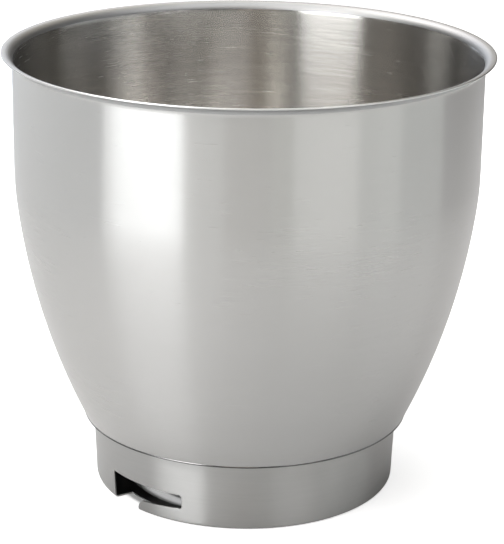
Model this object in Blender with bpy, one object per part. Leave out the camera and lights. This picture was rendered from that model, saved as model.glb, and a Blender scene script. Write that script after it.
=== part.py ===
"""Stand mixer bowl: a deep-drawn stainless steel bowl welded on a pressed bayonet foot ring.

The origin is on the bowl's axis, on the surface that the foot stands on, and +Z is up.
The front of the bowl faces -Y. Angles round the ring run from the front towards +X.
"""
import math

import bmesh
import bpy
from mathutils import Vector

# Sizes of the bowl, in metres. They are those of its outer face, which the neck and floor share.
BOWL_HEIGHT = 0.2035
BOWL_SHEET = 0.0007
WALL_RADIUS = 0.1056
LIP_WIDTH = 0.0048
LIP_RISE = math.radians(10.0)
LIP_BEND = 0.0043
SHOULDER_DROP = 0.0528
SHOULDER_ARC = 0.1480
SHOULDER_TURN = math.radians(6.6)
FLANK_ARC = 0.3180
LEDGE_HEIGHT = 0.0325
LEDGE_BEND = 0.0004
NECK_DEPTH = 0.0150
FLOOR_BEND = 0.0100
RISE_HEIGHT = 0.0050
RISE_TOP_RADIUS = 0.0150
RISE_SLOPE_WIDTH = 0.0120
RISE_BEND = 0.0080

# Sizes of the foot ring. Its wall stands in from the bowl's crease by the ledge's overhang.
LEDGE_OVERHANG = 0.0041
RING_SHEET = 0.0008
RING_TAPER = 0.0013
RING_BEND = 0.0012
FLANGE_WIDTH = 0.0145

# Fit between the two pieces: the ring stands round the bowl's neck, under its ledge.
SEAT_GAP = 0.0003

# Sizes of the bayonet slots. Lengths run round the outside of the ring, from the notch's open side.
SLOT_COUNT = 2
SLOT_START = math.radians(-57.8)
NOTCH_WIDTH = 0.0180
NOTCH_CORNER = 0.0006
NOTCH_WEB = 0.0053
TONGUE_HEIGHT = 0.0074
TONGUE_RAMP = 0.0017
TONGUE_CORNER = 0.0045
SLOT_HEIGHT = 0.0065
SLOT_RUN = 0.0243
SLOT_CORNER = 0.0014
CUT_MARGIN = 0.0020

# Fineness of the curved faces.
SEGMENTS = 64
CORNER_STEP = math.radians(22.0)
FLANK_STEPS = 9
SHOULDER_STEPS = 3
EDGE_STEPS = 4
CUT_STEP = 0.0025
ARC_SHARE = 0.98
SHARP_ANGLE = math.radians(35.0)
TINY = 0.000001

BOWL_COLOUR = (0.50, 0.495, 0.485, 1.0)
BOWL_ROUGHNESS = 0.30
RING_COLOUR = (0.45, 0.445, 0.435, 1.0)
RING_ROUGHNESS = 0.34


def clear_scene():
    for thing in list(bpy.data.objects):
        bpy.data.objects.remove(thing, do_unlink=True)


def steel(name, colour, roughness):
    """Satin stainless steel."""
    material = bpy.data.materials.new(name)
    material.use_nodes = True
    shader = material.node_tree.nodes["Principled BSDF"]
    shader.inputs["Base Color"].default_value = colour
    shader.inputs["Metallic"].default_value = 1.0
    shader.inputs["Roughness"].default_value = roughness
    return material


def turned_by(spoke, angle):
    cosine = math.cos(angle)
    sine = math.sin(angle)
    return Vector((spoke.x * cosine - spoke.y * sine, spoke.x * sine + spoke.y * cosine))


def tangent_lengths(corners):
    """How far each corner's arc reaches along its two sides; two arcs never ask for more than a side."""
    places = [Vector((x, y)) for x, y, radius in corners]
    lengths = [0.0] * len(corners)
    for index in range(1, len(corners) - 1):
        back = places[index - 1] - places[index]
        ahead = places[index + 1] - places[index]
        lengths[index] = corners[index][2] / math.tan(back.angle(ahead) / 2)
    for index in range(len(corners) - 1):
        side = (places[index + 1] - places[index]).length * ARC_SHARE
        wanted = lengths[index] + lengths[index + 1]
        if wanted > side:
            lengths[index] *= side / wanted
            lengths[index + 1] *= side / wanted
    return lengths


def rounded_line(corners):
    """Turns corners (x, y, radius) into points, with an arc at each corner that has a radius."""
    points = []
    for index, length in enumerate(tangent_lengths(corners)):
        here = Vector(corners[index][:2])
        if length == 0.0:
            points.append(here)
            continue
        back = (Vector(corners[index - 1][:2]) - here).normalized()
        ahead = (Vector(corners[index + 1][:2]) - here).normalized()
        half_angle = back.angle(ahead) / 2
        start = here + back * length
        middle = here + (back + ahead).normalized() * length / math.cos(half_angle)
        turn = math.pi - 2 * half_angle
        if back.x * ahead.y - back.y * ahead.x > 0:
            turn = -turn
        steps = max(2, math.ceil(abs(turn) / CORNER_STEP))
        points += [middle + turned_by(start - middle, turn * step / steps) for step in range(steps + 1)]
    return points


def offset_line(points, distance):
    """The same line moved sideways, to the left of its direction, by one distance everywhere."""
    moved = []
    last = len(points) - 1
    for index, point in enumerate(points):
        before = (point - points[index - 1]).normalized() if index > 0 else None
        after = (points[index + 1] - point).normalized() if index < last else None
        before = before or after
        after = after or before
        along = (before + after).normalized()
        left = Vector((-along.y, along.x))
        moved.append(point + left * distance / before.dot(along))
    return moved


def half_round(start, end, steps):
    """Points of a half circle from start to end, bulging to the left of that direction, ends left out."""
    middle = (start + end) / 2
    return [middle + turned_by(start - middle, -math.pi * step / steps) for step in range(1, steps)]


def turned(name, section, material):
    """Turns a closed section of (radius, height) points round the Z axis into one closed body."""
    mesh = bpy.data.meshes.new(name)
    body = bmesh.new()
    rings = []
    for point in section:
        if point.x < TINY:
            rings.append([body.verts.new((0.0, 0.0, point.y))] * SEGMENTS)
            continue
        ring = []
        for segment in range(SEGMENTS):
            angle = 2 * math.pi * segment / SEGMENTS
            ring.append(body.verts.new((point.x * math.cos(angle), point.x * math.sin(angle), point.y)))
        rings.append(ring)
    for index, ring in enumerate(rings):
        beside = rings[(index + 1) % len(rings)]
        if ring[0] is ring[1] and beside[0] is beside[1]:
            continue
        for segment in range(SEGMENTS):
            following = (segment + 1) % SEGMENTS
            corners = [ring[segment], ring[following], beside[following], beside[segment]]
            body.faces.new(list(dict.fromkeys(corners)))
    face_outwards(body)
    body.to_mesh(mesh)
    body.free()
    return placed(name, mesh, material)


def face_outwards(body):
    bmesh.ops.recalc_face_normals(body, faces=body.faces)
    if body.calc_volume(signed=True) < 0:
        bmesh.ops.reverse_faces(body, faces=body.faces)


def placed(name, mesh, material):
    mesh.shade_smooth()
    mesh.set_sharp_from_angle(angle=SHARP_ANGLE)
    piece = bpy.data.objects.new(name, mesh)
    bpy.context.scene.collection.objects.link(piece)
    if material:
        piece.data.materials.append(material)
    return piece


def flank_line():
    """Outer face of the wall below the straight part: the shoulder's arc, then the flank's flatter arc."""
    shoulder_height = BOWL_HEIGHT - SHOULDER_DROP
    points = []
    for step in range(SHOULDER_STEPS + 1):
        turn = SHOULDER_TURN * step / SHOULDER_STEPS
        radius = WALL_RADIUS - SHOULDER_ARC * (1 - math.cos(turn))
        height = shoulder_height - SHOULDER_ARC * math.sin(turn)
        points.append((radius, height, 0.0))
    centre_radius = radius - FLANK_ARC * math.cos(SHOULDER_TURN)
    centre_height = height + FLANK_ARC * math.sin(SHOULDER_TURN)
    end_turn = math.asin((centre_height - LEDGE_HEIGHT) / FLANK_ARC)
    for step in range(1, FLANK_STEPS + 1):
        turn = SHOULDER_TURN + (end_turn - SHOULDER_TURN) * step / FLANK_STEPS
        radius = centre_radius + FLANK_ARC * math.cos(turn)
        height = centre_height - FLANK_ARC * math.sin(turn)
        points.append((radius, height, 0.0))
    return points


def ring_radius(height):
    """Outer radius of the foot ring's tapering wall at a height."""
    crease_radius = flank_line()[-1][0]
    return crease_radius - LEDGE_OVERHANG - RING_TAPER * (1 - height / LEDGE_HEIGHT)


def neck_radius(height):
    """Outer radius of the bowl's neck, which fits inside the ring's wall."""
    return ring_radius(height) - RING_SHEET - SEAT_GAP


def bowl_section():
    """Section of the drawn sheet: lip, wall, flank, ledge, neck and the floor with its raised centre."""
    lip_tip_radius = WALL_RADIUS + LIP_WIDTH - BOWL_SHEET / 2
    lip_tip_height = BOWL_HEIGHT - BOWL_SHEET * (1 + math.cos(LIP_RISE)) / 2
    lip_root_height = lip_tip_height - (lip_tip_radius - WALL_RADIUS) * math.tan(LIP_RISE)
    floor_height = LEDGE_HEIGHT - NECK_DEPTH
    flank = flank_line()
    crease_radius = flank.pop()[0]
    corners = [(lip_tip_radius, lip_tip_height, 0.0), (WALL_RADIUS, lip_root_height, LIP_BEND)]
    corners += flank
    corners += [
        (crease_radius, LEDGE_HEIGHT, LEDGE_BEND + BOWL_SHEET),
        (neck_radius(LEDGE_HEIGHT), LEDGE_HEIGHT, LEDGE_BEND),
        (neck_radius(floor_height), floor_height, FLOOR_BEND + BOWL_SHEET),
        (RISE_TOP_RADIUS + RISE_SLOPE_WIDTH, floor_height, RISE_BEND),
        (RISE_TOP_RADIUS, floor_height + RISE_HEIGHT, RISE_BEND),
        (0.0, floor_height + RISE_HEIGHT, 0.0),
    ]
    outside = rounded_line(corners)
    inside = offset_line(outside, -BOWL_SHEET)
    inside[-1].x = 0.0
    edge = half_round(inside[0], outside[0], EDGE_STEPS)
    return outside + inside[::-1] + edge


def ring_section():
    """Section of the pressed ring: a tapering wall, turned inwards at the foot into a flat flange."""
    top = LEDGE_HEIGHT - SEAT_GAP
    corners = [
        (ring_radius(top), top, 0.0),
        (ring_radius(0.0), 0.0, RING_BEND + RING_SHEET),
        (ring_radius(0.0) - FLANGE_WIDTH, 0.0, 0.0),
    ]
    outside = rounded_line(corners)
    inside = offset_line(outside, -RING_SHEET)
    return outside + inside[::-1]


def bent_prism(name, outline, start, inner_radius, outer_radius):
    """A cutter: an outline of (way round the ring, height) points, given depth and bent round Z."""
    mesh = bpy.data.meshes.new(name)
    body = bmesh.new()
    face = body.faces.new([body.verts.new((point.x, inner_radius, point.y)) for point in outline])
    extruded = bmesh.ops.extrude_face_region(body, geom=[face])
    for item in extruded["geom"]:
        if isinstance(item, bmesh.types.BMVert):
            item.co.y = outer_radius
    length = max(point.x for point in outline)
    slices = math.ceil(length / CUT_STEP)
    for index in range(1, slices):
        everything = body.verts[:] + body.edges[:] + body.faces[:]
        place = (length * index / slices, 0.0, 0.0)
        bmesh.ops.bisect_plane(body, geom=everything, dist=TINY, plane_co=place, plane_no=(1.0, 0.0, 0.0))
    for vertex in body.verts:
        along, radius, height = vertex.co
        angle = start + along / ring_radius(TONGUE_HEIGHT)
        vertex.co = (radius * math.sin(angle), -radius * math.cos(angle), height)
    face_outwards(body)
    body.to_mesh(mesh)
    body.free()
    cutter = placed(name, mesh, None)
    cutter.hide_render = True
    cutter.display_type = "WIRE"
    return cutter


def slot_outline():
    """The L of one slot: up the notch, along its roof to the blind end, back over the tongue and down.

    The tongue's top falls from the blind end to its tip, so that a lug rides up it and is held.
    Cut from the notch's floor outwards it opens the foot flange too, but only where the notch meets it.
    """
    bottom = -CUT_MARGIN
    roof = TONGUE_HEIGHT + SLOT_HEIGHT
    end = NOTCH_WIDTH + SLOT_RUN
    return rounded_line([
        (0.0, bottom, 0.0),
        (0.0, roof, NOTCH_CORNER),
        (end, roof, SLOT_CORNER),
        (end, TONGUE_HEIGHT, SLOT_CORNER),
        (NOTCH_WIDTH, TONGUE_HEIGHT - TONGUE_RAMP, TONGUE_CORNER),
        (NOTCH_WIDTH, bottom, 0.0),
    ])


def cut(piece, cutter):
    modifier = piece.modifiers.new(cutter.name, "BOOLEAN")
    modifier.operation = "DIFFERENCE"
    modifier.solver = "EXACT"
    modifier.object = cutter


def build_bowl():
    turned("bowl", bowl_section(), steel("bowl_steel", BOWL_COLOUR, BOWL_ROUGHNESS))


def build_foot_ring():
    ring = turned("foot_ring", ring_section(), steel("ring_steel", RING_COLOUR, RING_ROUGHNESS))
    outline = slot_outline()
    notch_floor = ring_radius(0.0) - FLANGE_WIDTH + NOTCH_WEB
    beyond_wall = ring_radius(LEDGE_HEIGHT) + CUT_MARGIN
    for index in range(SLOT_COUNT):
        start = SLOT_START + 2 * math.pi * index / SLOT_COUNT
        cut(ring, bent_prism("slot_cutter_%d" % (index + 1), outline, start, notch_floor, beyond_wall))


clear_scene()
build_bowl()
build_foot_ring()
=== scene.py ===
"""Looks of the stand mixer bowl: satin brushed steel on a pale floor, seen as in the photograph."""

import math

import bmesh
import bpy
from mathutils import Matrix, Vector
from mathutils.geometry import delaunay_2d_cdt


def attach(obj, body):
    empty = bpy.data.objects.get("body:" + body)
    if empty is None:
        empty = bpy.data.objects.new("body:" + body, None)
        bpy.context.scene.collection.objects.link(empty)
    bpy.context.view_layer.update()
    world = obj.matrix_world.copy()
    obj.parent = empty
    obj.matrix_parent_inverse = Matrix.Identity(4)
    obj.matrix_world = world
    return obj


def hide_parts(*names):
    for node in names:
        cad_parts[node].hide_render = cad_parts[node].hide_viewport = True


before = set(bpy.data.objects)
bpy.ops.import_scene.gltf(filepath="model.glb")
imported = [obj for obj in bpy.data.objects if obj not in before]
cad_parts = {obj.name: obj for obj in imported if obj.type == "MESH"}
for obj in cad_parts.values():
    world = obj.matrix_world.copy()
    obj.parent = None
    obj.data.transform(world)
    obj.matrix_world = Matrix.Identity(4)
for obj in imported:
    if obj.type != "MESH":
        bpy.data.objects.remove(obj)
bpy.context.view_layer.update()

# Sizes of the two pressings, in metres, as in the CAD source.
BOWL_HEIGHT = 0.2035
BOWL_SHEET = 0.0007
WALL_RADIUS = 0.1056
LIP_WIDTH = 0.0048
LIP_RISE = math.radians(10.0)
LIP_BEND = 0.0043
SHOULDER_DROP = 0.0528
SHOULDER_ARC = 0.1480
SHOULDER_TURN = math.radians(6.6)
FLANK_ARC = 0.3180
LEDGE_HEIGHT = 0.0325
LEDGE_BEND = 0.0004
NECK_DEPTH = 0.0150
FLOOR_BEND = 0.0100
RISE_HEIGHT = 0.0050
RISE_TOP_RADIUS = 0.0150
RISE_SLOPE_WIDTH = 0.0120
RISE_BEND = 0.0080
LEDGE_OVERHANG = 0.0041
RING_SHEET = 0.0008
RING_TAPER = 0.0013
RING_BEND = 0.0012
FLANGE_WIDTH = 0.0145
SEAT_GAP = 0.0003
SLOT_COUNT = 2
SLOT_START = math.radians(-57.8)
NOTCH_WIDTH = 0.0180
NOTCH_CORNER = 0.0006
NOTCH_WEB = 0.0053
TONGUE_HEIGHT = 0.0074
TONGUE_RAMP = 0.0017
TONGUE_CORNER = 0.0045
SLOT_HEIGHT = 0.0065
SLOT_RUN = 0.0243
SLOT_CORNER = 0.0014

# The ridge that drawing pinches out along the crease, too small for the CAD.
BEAD_RADIUS = 0.00042
BEAD_HEIGHT = 0.00032

# Rounding of the foot ring's cut edges.
CUT_EDGE = 0.00018

# How far the lip has to stand out from the wall to have the finish of the lip.
LIP_START = 0.0003

# Materials of the bowl, in the order of its slots.
OUTSIDE, INSIDE, LIP, EDGE, BEAD, SHADED_SEAM = range(6)

# Fineness of the meshes: steps round the axis, along each arc and over the flat sheet of the ring,
# and the largest turn in one step of a corner.
SEGMENTS = 192
SHOULDER_STEPS = 6
FLANK_STEPS = 36
EDGE_STEPS = 10
BEAD_STEPS = 12
CUT_EDGE_STEPS = 4
WALL_ROWS = 18
FLANGE_ROWS = 8
CORNER_STEP = math.radians(7.0)

# How many of the ridge's steps, from the top, have its lighter finish. Both of its finishes are painted
# shade: steel darker than the bowl's, along the crease.
BEAD_TOP_STEPS = 3
# The share of a side that the arcs at its two ends may use up.
ARC_SHARE = 0.98
# The share of a side at each of its ends where it isn't split.
SPLIT_MARGIN = 0.02
# A slot's outline starts so far above the foot of its notch, and has no other points so near.
OUTLINE_START = 0.005
OUTLINE_CLEARANCE = 0.00025
# Places closer than SAME_PLACE, or alike to PLACE_DIGITS digits, are one. Below NOTHING a length is
# no length.
SAME_PLACE = 1e-6
PLACE_DIGITS = 6
NOTHING = 1e-7
# Faces that meet at more than this angle keep a sharp edge.
SHARP_ANGLE = math.radians(50.0)


def turned_by(spoke, angle):
    cosine = math.cos(angle)
    sine = math.sin(angle)
    return Vector((spoke.x * cosine - spoke.y * sine, spoke.x * sine + spoke.y * cosine))


def tangent_lengths(corners):
    """How far from each corner its arc starts and ends, less where two arcs don't fit on a side."""
    places = [Vector(corner[:2]) for corner in corners]
    lengths = [0.0] * len(corners)
    for index in range(1, len(corners) - 1):
        back = places[index - 1] - places[index]
        ahead = places[index + 1] - places[index]
        lengths[index] = corners[index][2] / math.tan(back.angle(ahead) / 2)
    for index in range(len(corners) - 1):
        side = (places[index + 1] - places[index]).length * ARC_SHARE
        wanted = lengths[index] + lengths[index + 1]
        if wanted > side:
            lengths[index] *= side / wanted
            lengths[index + 1] *= side / wanted
    return lengths


def rounded_line(corners):
    """Turns corners (x, y, radius) into points, with an arc at each corner that has a radius."""
    points = []
    for index, length in enumerate(tangent_lengths(corners)):
        here = Vector(corners[index][:2])
        if length == 0.0:
            points.append(here)
            continue
        back = (Vector(corners[index - 1][:2]) - here).normalized()
        ahead = (Vector(corners[index + 1][:2]) - here).normalized()
        half_angle = back.angle(ahead) / 2
        middle = here + (back + ahead).normalized() * length / math.cos(half_angle)
        spoke = here + back * length - middle
        turn = math.pi - 2 * half_angle
        if back.x * ahead.y - back.y * ahead.x > 0:
            turn = -turn
        steps = max(2, math.ceil(abs(turn) / CORNER_STEP))
        points += [middle + turned_by(spoke, turn * step / steps) for step in range(steps + 1)]
    return points


def line_sides(points):
    """The left side of a line of points at each of its points, long enough to keep an offset even."""
    sides = []
    last = len(points) - 1
    for index, point in enumerate(points):
        before = (point - points[index - 1]).normalized() if index > 0 else None
        after = (points[index + 1] - point).normalized() if index < last else None
        before = before or after
        after = after or before
        along = (before + after).normalized()
        sides.append(Vector((-along.y, along.x)) / before.dot(along))
    return sides


def offset_line(points, distance):
    return [point + side * distance for point, side in zip(points, line_sides(points))]


def flank_line():
    """Outer face of the wall below its straight part: the shoulder's arc, then the flatter flank."""
    shoulder_height = BOWL_HEIGHT - SHOULDER_DROP
    points = []
    for step in range(SHOULDER_STEPS + 1):
        turn = SHOULDER_TURN * step / SHOULDER_STEPS
        radius = WALL_RADIUS - SHOULDER_ARC * (1 - math.cos(turn))
        height = shoulder_height - SHOULDER_ARC * math.sin(turn)
        points.append((radius, height, 0.0))
    centre_radius = radius - FLANK_ARC * math.cos(SHOULDER_TURN)
    centre_height = height + FLANK_ARC * math.sin(SHOULDER_TURN)
    end_turn = math.asin((centre_height - LEDGE_HEIGHT) / FLANK_ARC)
    for step in range(1, FLANK_STEPS + 1):
        turn = SHOULDER_TURN + (end_turn - SHOULDER_TURN) * step / FLANK_STEPS
        radius = centre_radius + FLANK_ARC * math.cos(turn)
        height = centre_height - FLANK_ARC * math.sin(turn)
        points.append((radius, height, 0.0))
    return points


def ring_radius(height):
    """Outer radius of the foot ring's tapering wall at a height."""
    crease_radius = flank_line()[-1][0]
    return crease_radius - LEDGE_OVERHANG - RING_TAPER * (1 - height / LEDGE_HEIGHT)


def neck_radius(height):
    """Outer radius of the bowl's neck at a height, inside the ring."""
    return ring_radius(height) - RING_SHEET - SEAT_GAP


def crease_bead(crease, above):
    """Points of the ridge along the crease, from the flank that comes down from above to the ledge."""
    down = (crease - above).normalized()
    outward = Vector((-down.y, down.x))
    depth = BEAD_RADIUS - BEAD_HEIGHT
    back = (BEAD_RADIUS + depth * outward.y) / -down.y
    middle = crease - down * back - outward * depth
    start = math.atan2(outward.y, outward.x) + math.acos(depth / BEAD_RADIUS)
    points = []
    for step in range(BEAD_STEPS + 1):
        angle = start + (-math.pi / 2 - start) * step / BEAD_STEPS
        points.append(middle + Vector((math.cos(angle), math.sin(angle))) * BEAD_RADIUS)
    return points


def bowl_section():
    """Closed section of the drawn sheet, as points with their materials, starting at the lip's tip."""
    def faced(points, material, lip_start):
        return [(point, LIP if point.x > lip_start else material) for point in points]

    lip_tip_radius = WALL_RADIUS + LIP_WIDTH - BOWL_SHEET / 2
    lip_tip_height = BOWL_HEIGHT - BOWL_SHEET * (1 + math.cos(LIP_RISE)) / 2
    lip_root_height = lip_tip_height - (lip_tip_radius - WALL_RADIUS) * math.tan(LIP_RISE)
    floor_height = LEDGE_HEIGHT - NECK_DEPTH
    flank = flank_line()
    crease_radius = flank.pop()[0]
    corners = [(lip_tip_radius, lip_tip_height, 0.0), (WALL_RADIUS, lip_root_height, LIP_BEND)]
    corners += flank
    corners += [
        (crease_radius, LEDGE_HEIGHT, LEDGE_BEND + BOWL_SHEET),
        (neck_radius(LEDGE_HEIGHT), LEDGE_HEIGHT, LEDGE_BEND),
        (neck_radius(floor_height), floor_height, FLOOR_BEND + BOWL_SHEET),
        (RISE_TOP_RADIUS + RISE_SLOPE_WIDTH, floor_height, RISE_BEND),
        (RISE_TOP_RADIUS, floor_height + RISE_HEIGHT, RISE_BEND),
        (0.0, floor_height + RISE_HEIGHT, 0.0),
    ]
    outside = rounded_line(corners)
    inside = offset_line(outside, -BOWL_SHEET)
    inside[-1].x = 0.0
    middle = (inside[0] + outside[0]) / 2
    spoke = inside[0] - middle
    edge = [middle + turned_by(spoke, -math.pi * step / EDGE_STEPS) for step in range(1, EDGE_STEPS)]
    bead = crease_bead(Vector((crease_radius, LEDGE_HEIGHT)), Vector(flank[-1][:2]))
    crease_at = corners.index(flank[-1]) + 1
    above = rounded_line(corners[:crease_at] + [(*bead[0], 0.0)])
    below = rounded_line([(*bead[-1], 0.0)] + corners[crease_at + 1:])
    section = faced(above[:-1], OUTSIDE, WALL_RADIUS + LIP_START)
    # The ridge's top steps are steel painted darker than the bowl's, as shade along the crease; the
    # lamps still glint on them.
    section += [(point, BEAD) for point in bead[:BEAD_TOP_STEPS]]
    # The steps below are painted nearly black, as the shadow in the gap between the ridge and the ring.
    section += [(point, SHADED_SEAM) for point in bead[BEAD_TOP_STEPS:-1]]
    section += [(point, OUTSIDE) for point in below]
    section += faced(inside[::-1], INSIDE, WALL_RADIUS - BOWL_SHEET + LIP_START)
    section += [(point, EDGE) for point in edge]
    return section


def mesh_object(name, body):
    bmesh.ops.recalc_face_normals(body, faces=body.faces)
    if body.calc_volume(signed=True) < 0:
        bmesh.ops.reverse_faces(body, faces=body.faces)
    mesh = bpy.data.meshes.new(name)
    body.to_mesh(mesh)
    body.free()
    mesh.shade_smooth()
    mesh.set_sharp_from_angle(angle=SHARP_ANGLE)
    piece = bpy.data.objects.new(name, mesh)
    bpy.context.scene.collection.objects.link(piece)
    return piece


def turned(name, section):
    """Turns a closed section of (radius, height) points with their materials round the Z axis."""
    body = bmesh.new()
    rings = []
    for point, material in section:
        if point.x < SAME_PLACE:
            rings.append([body.verts.new((0.0, 0.0, point.y))] * SEGMENTS)
            continue
        ring = []
        for segment in range(SEGMENTS):
            angle = 2 * math.pi * segment / SEGMENTS
            place = (point.x * math.cos(angle), point.x * math.sin(angle), point.y)
            ring.append(body.verts.new(place))
        rings.append(ring)
    for index, ring in enumerate(rings):
        beside = rings[(index + 1) % len(rings)]
        if ring[0] is ring[1] and beside[0] is beside[1]:
            continue
        for segment in range(SEGMENTS):
            following = (segment + 1) % SEGMENTS
            corners = [ring[segment], ring[following], beside[following], beside[segment]]
            face = body.faces.new(list(dict.fromkeys(corners)))
            face.material_index = section[index][1]
    return mesh_object(name, body)


class Sheet:
    """Outer face of the pressed ring, as a line in section, with the way along it to each point."""

    def __init__(self):
        top = LEDGE_HEIGHT - SEAT_GAP
        self.points = rounded_line([
            (ring_radius(0.0) - FLANGE_WIDTH, 0.0, 0.0),
            (ring_radius(0.0), 0.0, RING_BEND + RING_SHEET),
            (ring_radius(top), top, 0.0),
        ])
        self.sides = line_sides(self.points)
        self.along = [0.0]
        for before, after in zip(self.points, self.points[1:]):
            self.along.append(self.along[-1] + (after - before).length)

    def at_height(self, height):
        """The way along the section to a height on the wall."""
        for index in range(1, len(self.points)):
            if self.points[index].y > height:
                span = self.points[index].y - self.points[index - 1].y
                part = (height - self.points[index - 1].y) / span
                return self.along[index - 1] + part * (self.along[index] - self.along[index - 1])
        return self.along[-1]

    def place(self, angle, along, depth):
        """The point at an angle round the ring, so far along the section and so deep in the sheet."""
        index = 1
        while index < len(self.along) - 1 and self.along[index] < along:
            index += 1
        span = self.along[index] - self.along[index - 1]
        part = (along - self.along[index - 1]) / span
        point = self.points[index - 1].lerp(self.points[index], part)
        side = self.sides[index - 1].lerp(self.sides[index], part)
        radius, height = point + side * depth
        return Vector((radius * math.sin(angle), -radius * math.cos(angle), height))


def sheet_rows(sheet):
    """Ways along the section that get points on the flat sheet: bend, wall and flange."""
    flange_end = sheet.along[1]
    wall_start = sheet.along[-2]
    top = sheet.along[-1] - CUT_EDGE
    rows = [CUT_EDGE] + sheet.along[1:-1]
    wall = top - wall_start
    rows += [wall_start + wall * step / WALL_ROWS for step in range(1, WALL_ROWS + 1)]
    flange = flange_end - CUT_EDGE
    rows += [CUT_EDGE + flange * step / FLANGE_ROWS for step in range(1, FLANGE_ROWS)]
    return sorted(rows)


def slot_outline(sheet):
    """One bayonet slot on the flat sheet, as a closed line that starts on the notch's outer edge."""
    roof = sheet.at_height(TONGUE_HEIGHT + SLOT_HEIGHT)
    tongue = sheet.at_height(TONGUE_HEIGHT)
    tongue_tip = sheet.at_height(TONGUE_HEIGHT - TONGUE_RAMP)
    end = NOTCH_WIDTH + SLOT_RUN
    start = (0.0, NOTCH_WEB + OUTLINE_START, 0.0)
    return rounded_line([
        start,
        (0.0, roof, NOTCH_CORNER),
        (end, roof, SLOT_CORNER),
        (end, tongue, SLOT_CORNER),
        (NOTCH_WIDTH, tongue_tip, TONGUE_CORNER),
        (NOTCH_WIDTH, NOTCH_WEB, NOTCH_CORNER),
        (0.0, NOTCH_WEB, NOTCH_CORNER),
        start,
    ])[:-1]


def split_line(points, columns, rows):
    """Adds points to a closed outline wherever it crosses a column or a row."""
    split = []
    for index, start in enumerate(points):
        end = points[(index + 1) % len(points)]
        cuts = {0.0}
        for axis, lines in ((0, columns), (1, rows)):
            reach = end[axis] - start[axis]
            if abs(reach) <= NOTHING:
                continue
            for line in lines:
                if SPLIT_MARGIN < (line - start[axis]) / reach < 1 - SPLIT_MARGIN:
                    cuts.add((line - start[axis]) / reach)
        split += [start.lerp(end, cut) for cut in sorted(cuts)]
    return split


def inside_outline(point, outline):
    hit = False
    for start, end in zip(outline, outline[1:] + outline[:1]):
        if (start.y > point.y) != (end.y > point.y):
            if point.x < start.x + (end.x - start.x) * (point.y - start.y) / (end.y - start.y):
                hit = not hit
    return hit


def cut_sheet(columns, rows, outlines):
    """The flat sheet with the outlines cut out: its points, and its faces as numbers of points."""
    def clear_of_outlines(point):
        for line in outlines:
            if inside_outline(point, line):
                return False
            if min((point - other).length for other in line) < OUTLINE_CLEARANCE:
                return False
        return True

    points = [Vector((column, row)) for column in columns for row in rows]
    points = [point for point in points if clear_of_outlines(point)]
    edges = []
    for line in outlines:
        first = len(points)
        points += line
        edges += [(first + i, first + (i + 1) % len(line)) for i in range(len(line))]
    flat, _, faces, *_ = delaunay_2d_cdt(points, edges, [], 0, NOTHING)
    kept = []
    for face in faces:
        middle = sum((flat[i] for i in face), Vector((0.0, 0.0))) / len(face)
        if not any(inside_outline(middle, line) for line in outlines):
            kept.append(face)
    return flat, kept


def sheet_rim(flat, faces, ends):
    """Edges of the flat sheet's outlines and long sides, without its two ends, which meet once bent."""
    rim = {}
    for face in faces:
        for a, b in zip(face, face[1:] + face[:1]):
            if (b, a) in rim:
                del rim[(b, a)]
            else:
                rim[(a, b)] = True
    return [(a, b) for a, b in rim if flat[a].x != flat[b].x or flat[a].x not in ends]


def cut_edge_steps():
    """Depth in the sheet and reach past the flat outline, over a cut edge with both corners rounded."""
    steps = []
    for step in range(CUT_EDGE_STEPS + 1):
        turn = math.pi / 2 * step / CUT_EDGE_STEPS
        steps.append((CUT_EDGE * (1 - math.cos(turn)), CUT_EDGE * math.sin(turn)))
    return steps + [(RING_SHEET - depth, reach) for depth, reach in steps[::-1]]


def foot_ring():
    """The pressed ring, laid out flat as (way round, way along the section), cut and bent round."""
    sheet = Sheet()
    reference = ring_radius(TONGUE_HEIGHT)
    length = 2 * math.pi * reference
    columns = [length * segment / SEGMENTS for segment in range(SEGMENTS + 1)]
    rows = sheet_rows(sheet)
    outline = slot_outline(sheet)
    widened = offset_line(outline + outline[:2], CUT_EDGE)[1:-1]
    outlines = []
    for index in range(SLOT_COUNT):
        start = (SLOT_START + math.pi) * reference + length * index / SLOT_COUNT
        moved = [Vector((start + point.x, point.y)) for point in widened]
        outlines.append(split_line(moved, columns, rows))
    flat, faces = cut_sheet(columns, rows, outlines)

    body = bmesh.new()
    made = {}

    def vertex(point, depth, bulge):
        way = point.x % length
        if length - way < SAME_PLACE:
            way = 0.0
        key = tuple(round(value, PLACE_DIGITS) for value in (way, point.y, depth, *bulge))
        if key not in made:
            place = sheet.place((way + bulge.x) / reference - math.pi, point.y + bulge.y, depth)
            made[key] = body.verts.new(place)
        return made[key]

    def spot(index):
        return round(flat[index].x % length, PLACE_DIGITS), round(flat[index].y, PLACE_DIGITS)

    flush = Vector((0.0, 0.0))
    for face in faces:
        outer = [vertex(flat[i], 0.0, flush) for i in face]
        inner = [vertex(flat[i], RING_SHEET, flush) for i in face]
        body.faces.new(outer)
        body.faces.new(inner[::-1])

    # A Vector rounds its numbers, so the two ends are compared as it holds them.
    ends = {Vector((way, 0.0)).x for way in (columns[0], columns[-1])}
    rim = sheet_rim(flat, faces, ends)
    outward = {}
    for a, b in rim:
        step = (flat[b] - flat[a]).normalized()
        for index in (a, b):
            outward[spot(index)] = outward.get(spot(index), flush) + Vector((step.y, -step.x))
    steps = cut_edge_steps()
    for edge in rim:
        over = []
        for index in edge:
            direction = outward[spot(index)].normalized()
            over.append([vertex(flat[index], depth, direction * reach) for depth, reach in steps])
        for step in range(len(steps) - 1):
            corners = [over[0][step], over[0][step + 1], over[1][step + 1], over[1][step]]
            if len(set(corners)) > 2:
                body.faces.new(list(dict.fromkeys(corners)))
    return mesh_object("foot_ring_finish", body)


# Steel.

# Noise of the steel: fineness round the axis and along the wall, per metre, and detail.
SCRATCHES = (60.0, 2600.0, 2.0)
STREAKS = (45.0, 800.0, 3.0)
CLOUDS = (9.0, 14.0, 2.0)
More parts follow.
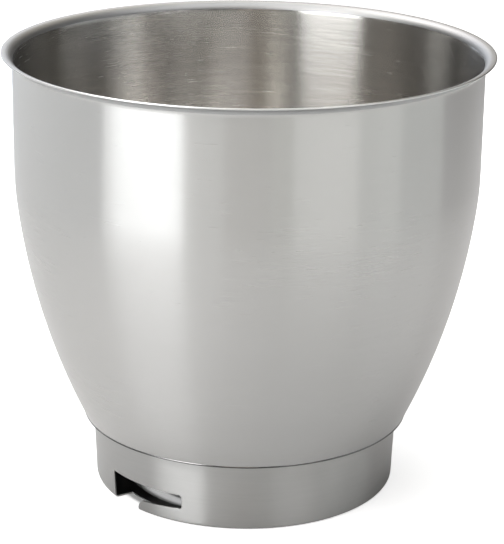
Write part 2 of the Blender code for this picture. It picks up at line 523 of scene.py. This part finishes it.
# How much the scratches and the clouds change the colour and the roughness.
SCRATCH_LIGHT = 0.06
CLOUD_LIGHT = 0.08
SCRATCH_ROUGHNESS = 0.06
CLOUD_ROUGHNESS = 0.04
# Height of the scratches beside that of the streaks.
SCRATCH_RELIEF = 0.3
# The quarter turn that makes a reflection spread across the brushing.
BRUSHING_TURN = 0.25

# Finishes of the bowl in the order of its slots: colour, roughness, light of the streaks, height of
# the relief in metres, and brushing.
BOWL_FINISHES = {
    "satin_outside": ((0.50, 0.497, 0.49), 0.26, 0.06, 0.0000025, 1.0),
    # The inside is painted light: the outside's steel made lighter and warmer, for light in the bowl.
    "satin_inside_painted_light": ((0.67, 0.657, 0.633), 0.26, 0.36, 0.0000015, 1.0),
    "satin_lip": ((0.40, 0.403, 0.405), 0.48, 0.05, 0.000002, 0.0),
    "worn_edge": ((0.75, 0.75, 0.745), 0.30, 0.03, 0.000001, 0.0),
    # The ridge's top is painted shade: steel darker than the bowl's along the crease, where the lamps
    # still glint.
    "bead_painted_shade": ((0.28, 0.279, 0.277), 0.14, 0.03, 0.000001, 0.0),
    # Painted shadow: the lower ridge nearly black, as the gap between the ridge and the ring.
    "seam_painted_shade": ((0.05, 0.049, 0.048), 0.30, 0.03, 0.000001, 0.0),
}
RING_FINISH = ((0.447, 0.444, 0.437), 0.34, 0.08, 0.000006, 1.0)


class Tree:
    """Adds nodes to a material or a world and links them."""

    def __init__(self, material):
        material.use_nodes = True
        self.nodes = material.node_tree.nodes
        self.links = material.node_tree.links

    def add(self, kind, values=None, **settings):
        node = self.nodes.new(kind)
        for name, value in settings.items():
            setattr(node, name, value)
        for name, value in (values or {}).items():
            if isinstance(value, bpy.types.NodeSocket):
                self.links.new(value, node.inputs[name])
            else:
                node.inputs[name].default_value = value
        return node

    def math(self, operation, a, b=0.0, c=0.0):
        return self.add("ShaderNodeMath", {0: a, 1: b, 2: c}, operation=operation).outputs[0]


def steel(name, colour, roughness, lines, ridge, brushed):
    """Satin steel, brushed round the axis: long fine scratches, longer streaks, and slow cloudiness.

    lines is how much lighter or darker the streaks are, ridge the height of their relief, and brushed
    how much more the brushing spreads a reflection across it than along it.
    """
    material = bpy.data.materials.new(name)
    tree = Tree(material)
    shader = tree.nodes["Principled BSDF"]
    place = tree.add("ShaderNodeTexCoord").outputs["Object"]
    x, y, z = tree.add("ShaderNodeSeparateXYZ", {0: place}).outputs
    across = tree.math("ADD", tree.math("POWER", x, 2.0), tree.math("POWER", y, 2.0))
    level = tree.math("ADD", tree.math("SQRT", across), z)

    def grain(round_scale, level_scale, detail):
        vector = tree.add("ShaderNodeCombineXYZ", {
            0: tree.math("MULTIPLY", x, round_scale),
            1: tree.math("MULTIPLY", y, round_scale),
            2: tree.math("MULTIPLY", level, level_scale),
        }).outputs[0]
        values = {"Vector": vector, "Scale": 1.0, "Detail": detail}
        return tree.add("ShaderNodeTexNoise", values).outputs[0]

    # The noises are about a half in the mean, so half of what they add is taken off again.
    fine = grain(*SCRATCHES)
    streak = grain(*STREAKS)
    cloud = grain(*CLOUDS)
    plain = 1 - (SCRATCH_LIGHT + CLOUD_LIGHT) / 2
    light = tree.math("MULTIPLY_ADD", fine, SCRATCH_LIGHT, plain)
    light = tree.math("MULTIPLY_ADD", streak, lines, light)
    light = tree.math("MULTIPLY_ADD", cloud, CLOUD_LIGHT, light)
    light = tree.math("SUBTRACT", light, lines / 2)
    tint = tree.add("ShaderNodeMix", {0: 1.0}, data_type="RGBA", blend_type="MULTIPLY")
    tint_a, tint_b = tint.inputs[6:8]
    tint_a.default_value = (*colour, 1.0)
    tree.links.new(light, tint_b)
    tree.links.new(tint.outputs[2], shader.inputs["Base Color"])
    shader.inputs["Metallic"].default_value = 1.0
    smooth = roughness - (SCRATCH_ROUGHNESS + CLOUD_ROUGHNESS) / 2
    rough = tree.math("MULTIPLY_ADD", fine, SCRATCH_ROUGHNESS, smooth)
    rough = tree.math("MULTIPLY_ADD", cloud, CLOUD_ROUGHNESS, rough)
    tree.links.new(rough, shader.inputs["Roughness"])
    shader.inputs["Anisotropic"].default_value = brushed
    shader.inputs["Anisotropic Rotation"].default_value = BRUSHING_TURN
    tangent = tree.add("ShaderNodeTangent", direction_type="RADIAL", axis="Z")
    tree.links.new(tangent.outputs[0], shader.inputs["Tangent"])
    height = tree.math("MULTIPLY_ADD", fine, SCRATCH_RELIEF, streak)
    bump = tree.add("ShaderNodeBump", {"Strength": 1.0, "Distance": ridge, "Height": height})
    tree.links.new(bump.outputs[0], shader.inputs["Normal"])
    return material


bowl = turned("bowl_finish", bowl_section())
for finish_name, finish in BOWL_FINISHES.items():
    bowl.data.materials.append(steel(finish_name, *finish))
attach(bowl, "root")
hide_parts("bowl")

ring = foot_ring()
ring.data.materials.append(steel("satin_ring", *RING_FINISH))
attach(ring, "root")
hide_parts("foot_ring")


# Studio.

FLOOR_REACH = 6.0
PAPER_COLOUR = (0.80, 0.80, 0.80, 1.0)
PAPER_ROUGHNESS = 0.9

# What the floor adds to its lit colour: from one distance from the axis to the next it grows to a
# strength. For camera rays it starts under the ring's flange, so the floor keeps a faint shadow, and
# grows again far away. A ring of it inside the foot stands for the light seen through the slot.
SEEN_GLOW = (0.0625, 0.0650, 0.64)
FAR_GLOW = (0.15, 0.60, 0.25)
INNER_GLOW_START = (0.0465, 0.0485, 0.36)
INNER_GLOW_END = (0.0510, 0.0540, 0.36)
# The same for rays that the steel mirrors.
MIRRORED_GLOW = (0.070, 0.100, 0.10)

WORLD_COLOUR = (0.02, 0.02, 0.02, 1.0)


def pale_floor():
    mesh = bpy.data.meshes.new("floor")
    low, high = -FLOOR_REACH, FLOOR_REACH
    corners = [(low, low, 0), (high, low, 0), (high, high, 0), (low, high, 0)]
    mesh.from_pydata(corners, [], [(0, 1, 2, 3)])
    floor = bpy.data.objects.new("floor", mesh)
    bpy.context.scene.collection.objects.link(floor)
    material = bpy.data.materials.new("floor_paper")
    tree = Tree(material)
    shader = tree.nodes["Principled BSDF"]
    shader.inputs["Base Color"].default_value = PAPER_COLOUR
    shader.inputs["Roughness"].default_value = PAPER_ROUGHNESS
    shader.inputs["Specular IOR Level"].default_value = 0.0
    path = tree.add("ShaderNodeLightPath").outputs
    mirrored = tree.math("MAXIMUM", path["Is Glossy Ray"], path["Is Transmission Ray"])
    place = tree.add("ShaderNodeTexCoord").outputs["Object"]
    away = tree.add("ShaderNodeVectorMath", {0: place}, operation="LENGTH").outputs["Value"]

    def glow(start, end, strength):
        return tree.add("ShaderNodeMapRange", {
            "Value": away, "From Min": start, "From Max": end, "To Min": 0.0, "To Max": strength,
        }, interpolation_type="SMOOTHSTEP").outputs[0]

    outer = tree.math("ADD", glow(*SEEN_GLOW), glow(*FAR_GLOW))
    inner = tree.math("SUBTRACT", glow(*INNER_GLOW_START), glow(*INNER_GLOW_END))
    seen = tree.math("MULTIPLY", path["Is Camera Ray"], tree.math("ADD", outer, inner))
    mirrored = tree.math("MULTIPLY", mirrored, glow(*MIRRORED_GLOW))
    shader.inputs["Emission Color"].default_value = (1.0, 1.0, 1.0, 1.0)
    tree.links.new(tree.math("ADD", seen, mirrored), shader.inputs["Emission Strength"])
    mesh.materials.append(material)


def studio_world():
    world = bpy.data.worlds.new("studio")
    bpy.context.scene.world = world
    Tree(world).nodes["Background"].inputs["Color"].default_value = WORLD_COLOUR


# Soft boxes round the bowl: azimuths from the front towards +X in degrees, heights in metres, and
# strength as red, green and blue.
CARDS = {
    "key_low": (-63, -28, 0.02, 0.70, (0.86, 0.88, 0.89)),
    "key_high": (-65, -35, 0.70, 1.90, (2.22, 2.18, 2.16)),
    "key_floor": (-63, -30, 0.02, 0.17, (0.35, 0.36, 0.36)),
    "key_side": (-80, -65, 1.20, 1.90, (0.53, 0.56, 0.54)),
    "key_side_low": (-67, -63, 0.02, 0.17, (1.05, 1.07, 1.08)),
    "left_low": (-150, -67, 0.02, 0.17, (0.50, 0.52, 0.53)),
    "left_back_high": (-150, -90, 1.20, 1.90, (1.75, 1.70, 1.62)),
    "back_low": (-180, -150, 0.02, 0.70, (0.34, 0.37, 0.42)),
    "back_high": (-180, -135, 0.70, 1.90, (1.05, 1.00, 0.98)),
    "front_left_low": (-28, -10, 0.02, 0.30, (0.387, 0.389, 0.376)),
    "front_low": (-10, 10, 0.02, 0.30, (0.255, 0.253, 0.236)),
    "front_high": (-20, 10, 1.20, 1.90, (0.70, 0.57, 0.50)),
    "right_start_low": (10, 20, 0.02, 0.30, (0.30, 0.305, 0.28)),
    "right_low": (20, 50, 0.02, 0.30, (0.517, 0.523, 0.505)),
    "right_side_low": (50, 100, 0.02, 0.30, (0.205, 0.22, 0.21)),
    "right_edge_low": (50, 72, 0.02, 0.17, (0.20, 0.20, 0.19)),
    "right_mid": (60, 115, 0.30, 0.70, (0.155, 0.16, 0.166)),
    "right_high": (40, 80, 1.20, 1.90, (1.35, 1.32, 1.34)),
    "right_back_high": (145, 180, 0.70, 1.90, (0.30, 0.268, 0.21)),
}
CARD_DISTANCE = 0.9
# The light over the bowl.
TOP_SIZE = 1.2
TOP_HEIGHT = 1.6
TOP_STRENGTH = (0.525, 0.535, 0.535)
# Watts of every lamp for each square metre of it, at strength 1.
LAMP_POWER = 10.0


def area_lamp(name, place, aim, size, strength):
    lamp = bpy.data.lights.new(name, "AREA")
    lamp.shape = "RECTANGLE"
    lamp.size, lamp.size_y = size
    lamp.energy = LAMP_POWER * size[0] * size[1]
    lamp.color = strength
    holder = bpy.data.objects.new(name, lamp)
    holder.location = place
    holder.rotation_euler = (Vector(aim) - Vector(place)).to_track_quat("-Z", "Y").to_euler()
    holder.visible_camera = False
    bpy.context.scene.collection.objects.link(holder)


def card(name, start, end, low, high, strength):
    """An upright soft box over the azimuths from start to end and the heights from low to high."""
    azimuth = math.radians((start + end) / 2)
    width = 2 * CARD_DISTANCE * math.tan(math.radians((end - start) / 2))
    height = (low + high) / 2
    place = (CARD_DISTANCE * math.sin(azimuth), -CARD_DISTANCE * math.cos(azimuth), height)
    area_lamp(name, place, (0.0, 0.0, height), (width, high - low), strength)


# The photo's camera, as it was fitted: place in metres, turns in radians, lens and sensor in
# millimetres.
CAMERA_PLACE = (0.0, -0.89874, 0.40261)
CAMERA_PITCH = 0.32677
CAMERA_YAW = 0.00292
CAMERA_ROLL = -0.01306
CAMERA_LENS = 135.52
SENSOR_HEIGHT = 36.0
CLIP_START = 0.05


def photo_camera():
    yaw_sine, yaw_cosine = math.sin(CAMERA_YAW), math.cos(CAMERA_YAW)
    level = math.cos(CAMERA_PITCH)
    ahead = Vector((yaw_sine * level, yaw_cosine * level, -math.sin(CAMERA_PITCH)))
    right = Vector((yaw_cosine, -yaw_sine, 0.0))
    down = ahead.cross(right)
    turned_right = right * math.cos(CAMERA_ROLL) + down * math.sin(CAMERA_ROLL)
    turned_down = down * math.cos(CAMERA_ROLL) - right * math.sin(CAMERA_ROLL)
    camera = bpy.data.cameras.new("camera")
    camera.sensor_fit = "VERTICAL"
    camera.sensor_height = SENSOR_HEIGHT
    camera.lens = CAMERA_LENS
    camera.clip_start = CLIP_START
    holder = bpy.data.objects.new("camera", camera)
    axes = Matrix((turned_right, -turned_down, -ahead)).transposed().to_4x4()
    holder.matrix_world = Matrix.Translation(CAMERA_PLACE) @ axes
    bpy.context.scene.collection.objects.link(holder)
    bpy.context.scene.camera = holder


pale_floor()
studio_world()
for card_name, values in CARDS.items():
    card(card_name, *values)
area_lamp("top", (0.0, 0.0, TOP_HEIGHT), (0.0, 0.0, 0.0), (TOP_SIZE, TOP_SIZE), TOP_STRENGTH)
photo_camera()
bpy.context.scene.view_settings.view_transform = "Standard"
